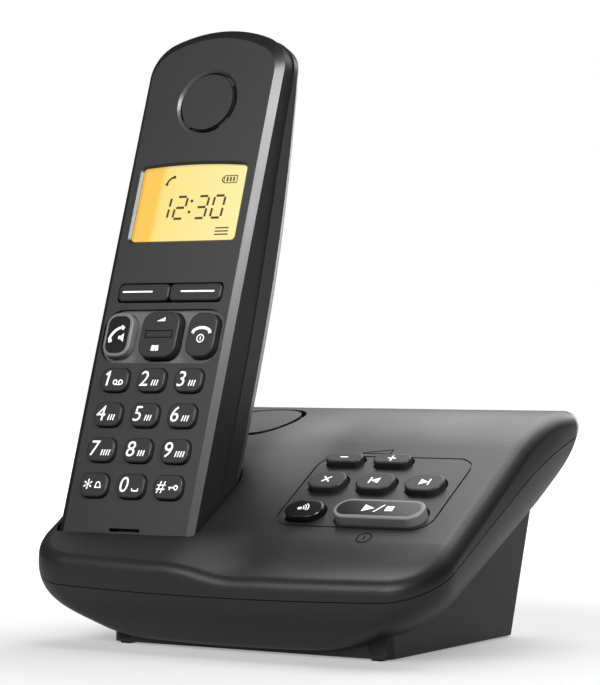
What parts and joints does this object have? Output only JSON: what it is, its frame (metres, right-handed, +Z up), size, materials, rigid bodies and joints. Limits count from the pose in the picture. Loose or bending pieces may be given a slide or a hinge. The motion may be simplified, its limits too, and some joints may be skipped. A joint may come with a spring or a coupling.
{
  "type": "cordless telephone with answering machine",
  "caption": "Wedge-shaped answering machine base with a sloping button panel and a cradle, and the cordless handset that stands in it.",
  "frame": {"origin": "on the table, under the middle of the base", "axes": "+X to the right seen from the front, the front with the buttons faces -Y, +Z up"},
  "size_m": [0.1306, 0.0992, 0.1753],
  "materials": {
    "housing": "fine matte texture, charcoal",
    "keys": "satin, charcoal",
    "gloss": "glossy, black",
    "trim": "satin, mid grey",
    "rubber": "matte, black",
    "lens": "clear",
    "lcd": "backlit amber",
    "steel": "satin",
    "contact": "polished",
    "board": "green laminate",
    "inside": "matte, black",
    "cell": "printed sleeve, plain"
  },
  "bodies": {
    "base": {"base_upper_shell": "housing", "base_lower_shell": "housing", "front_feet": "rubber", "rear_pads": "rubber", "base_screws": "steel", "base_circuit_board": "board", "base_key_mat": "rubber", "loudspeaker": "inside", "line_socket": "inside", "power_socket": "inside", "charge_holder": "inside"},
    "handset": {"handset_front_shell": "housing", "handset_rear_shell": "housing", "display_window": "lens", "display_module": "lcd", "earpiece": "inside", "microphone": "inside", "handset_circuit_board": "board", "handset_key_mat": "rubber", "nav_plate": "trim", "battery_cells": "cell", "battery_contacts": "contact", "charge_pads": "contact", "handset_screws": "steel"},
    "battery_cover": {"battery_cover": "housing"},
    "button_minus": {"button_minus": "keys"},
    "button_plus": {"button_plus": "keys"},
    "button_delete": {"button_delete": "keys"},
    "button_back": {"button_back": "keys"},
    "button_forward": {"button_forward": "keys"},
    "button_paging": {"button_paging": "gloss"},
    "play_button": {"play_rim": "trim", "button_play": "gloss"},
    "charge_pin_left": {"charge_pin_left": "contact"},
    "charge_pin_right": {"charge_pin_right": "contact"},
    "key_1": {"key_1": "keys"},
    "key_2": {"key_2": "keys"},
    "key_3": {"key_3": "keys"},
    "key_4": {"key_4": "keys"},
    "key_5": {"key_5": "keys"},
    "key_6": {"key_6": "keys"},
    "key_7": {"key_7": "keys"},
    "key_8": {"key_8": "keys"},
    "key_9": {"key_9": "keys"},
    "key_star": {"key_star": "keys"},
    "key_0": {"key_0": "keys"},
    "key_hash": {"key_hash": "keys"},
    "key_left_soft": {"key_left_soft": "keys"},
    "key_right_soft": {"key_right_soft": "keys"},
    "key_end": {"key_end": "keys"},
    "talk_key": {"talk_rim": "trim", "key_talk": "gloss"},
    "key_nav": {"key_nav": "keys"}
  },
  "joints": [
    {"name": "handset_lift", "type": "slide", "parent": "base", "child": "handset", "axis": [0, 0.3239, 0.9461], "range_m": [0, 0.08]},
    {"name": "battery_cover_pull", "type": "slide", "parent": "handset", "child": "battery_cover", "axis": [0, 0.9461, -0.3239], "range_m": [0, 0.012]},
    {"name": "button_minus_press", "type": "slide", "parent": "base", "child": "button_minus", "axis": [0, 0.515, -0.8572], "range_m": [0, 0.0007], "stiffness_N_per_m": 500},
    {"name": "button_plus_press", "type": "slide", "parent": "base", "child": "button_plus", "axis": [0, 0.515, -0.8572], "range_m": [0, 0.0007], "stiffness_N_per_m": 500},
    {"name": "button_delete_press", "type": "slide", "parent": "base", "child": "button_delete", "axis": [0, 0.515, -0.8572], "range_m": [0, 0.0007], "stiffness_N_per_m": 500},
    {"name": "button_back_press", "type": "slide", "parent": "base", "child": "button_back", "axis": [0, 0.515, -0.8572], "range_m": [0, 0.0007], "stiffness_N_per_m": 500},
    {"name": "button_forward_press", "type": "slide", "parent": "base", "child": "button_forward", "axis": [0, 0.515, -0.8572], "range_m": [0, 0.0007], "stiffness_N_per_m": 500},
    {"name": "button_paging_press", "type": "slide", "parent": "base", "child": "button_paging", "axis": [0, 0.515, -0.8572], "range_m": [0, 0.0007], "stiffness_N_per_m": 500},
    {"name": "play_button_press", "type": "slide", "parent": "base", "child": "play_button", "axis": [0, 0.515, -0.8572], "range_m": [0, 0.0007], "stiffness_N_per_m": 500},
    {"name": "charge_pin_left_press", "type": "slide", "parent": "base", "child": "charge_pin_left", "axis": [0, -0.3239, -0.9461], "range_m": [0, 0.0008], "stiffness_N_per_m": 300},
    {"name": "charge_pin_right_press", "type": "slide", "parent": "base", "child": "charge_pin_right", "axis": [0, -0.3239, -0.9461], "range_m": [0, 0.0008], "stiffness_N_per_m": 300},
    {"name": "key_1_press", "type": "slide", "parent": "handset", "child": "key_1", "axis": [0, 0.9461, -0.3239], "range_m": [0, 0.0006], "stiffness_N_per_m": 500},
    {"name": "key_2_press", "type": "slide", "parent": "handset", "child": "key_2", "axis": [0, 0.9461, -0.3239], "range_m": [0, 0.0006], "stiffness_N_per_m": 500},
    {"name": "key_3_press", "type": "slide", "parent": "handset", "child": "key_3", "axis": [0, 0.9461, -0.3239], "range_m": [0, 0.0006], "stiffness_N_per_m": 500},
    {"name": "key_4_press", "type": "slide", "parent": "handset", "child": "key_4", "axis": [0, 0.9461, -0.3239], "range_m": [0, 0.0006], "stiffness_N_per_m": 500},
    {"name": "key_5_press", "type": "slide", "parent": "handset", "child": "key_5", "axis": [0, 0.9461, -0.3239], "range_m": [0, 0.0006], "stiffness_N_per_m": 500},
    {"name": "key_6_press", "type": "slide", "parent": "handset", "child": "key_6", "axis": [0, 0.9461, -0.3239], "range_m": [0, 0.0006], "stiffness_N_per_m": 500},
    {"name": "key_7_press", "type": "slide", "parent": "handset", "child": "key_7", "axis": [0, 0.9461, -0.3239], "range_m": [0, 0.0006], "stiffness_N_per_m": 500},
    {"name": "key_8_press", "type": "slide", "parent": "handset", "child": "key_8", "axis": [0, 0.9461, -0.3239], "range_m": [0, 0.0006], "stiffness_N_per_m": 500},
    {"name": "key_9_press", "type": "slide", "parent": "handset", "child": "key_9", "axis": [0, 0.9461, -0.3239], "range_m": [0, 0.0006], "stiffness_N_per_m": 500},
    {"name": "key_star_press", "type": "slide", "parent": "handset", "child": "key_star", "axis": [0, 0.9461, -0.3239], "range_m": [0, 0.0006], "stiffness_N_per_m": 500},
    {"name": "key_0_press", "type": "slide", "parent": "handset", "child": "key_0", "axis": [0, 0.9461, -0.3239], "range_m": [0, 0.0006], "stiffness_N_per_m": 500},
    {"name": "key_hash_press", "type": "slide", "parent": "handset", "child": "key_hash", "axis": [0, 0.9461, -0.3239], "range_m": [0, 0.0006], "stiffness_N_per_m": 500},
    {"name": "key_left_soft_press", "type": "slide", "parent": "handset", "child": "key_left_soft", "axis": [0, 0.9461, -0.3239], "range_m": [0, 0.0006], "stiffness_N_per_m": 500},
    {"name": "key_right_soft_press", "type": "slide", "parent": "handset", "child": "key_right_soft", "axis": [0, 0.9461, -0.3239], "range_m": [0, 0.0006], "stiffness_N_per_m": 500},
    {"name": "key_end_press", "type": "slide", "parent": "handset", "child": "key_end", "axis": [0, 0.9461, -0.3239], "range_m": [0, 0.0006], "stiffness_N_per_m": 500},
    {"name": "talk_key_press", "type": "slide", "parent": "handset", "child": "talk_key", "axis": [0, 0.9461, -0.3239], "range_m": [0, 0.0006], "stiffness_N_per_m": 500},
    {"name": "nav_rock", "type": "hinge", "parent": "handset", "child": "key_nav", "pos_m": [-0.0372, -0.01443, 0.08409], "axis": [1, 0, 0], "range_deg": [-4, 4], "stiffness_Nm_per_rad": 0.05}
  ]
}
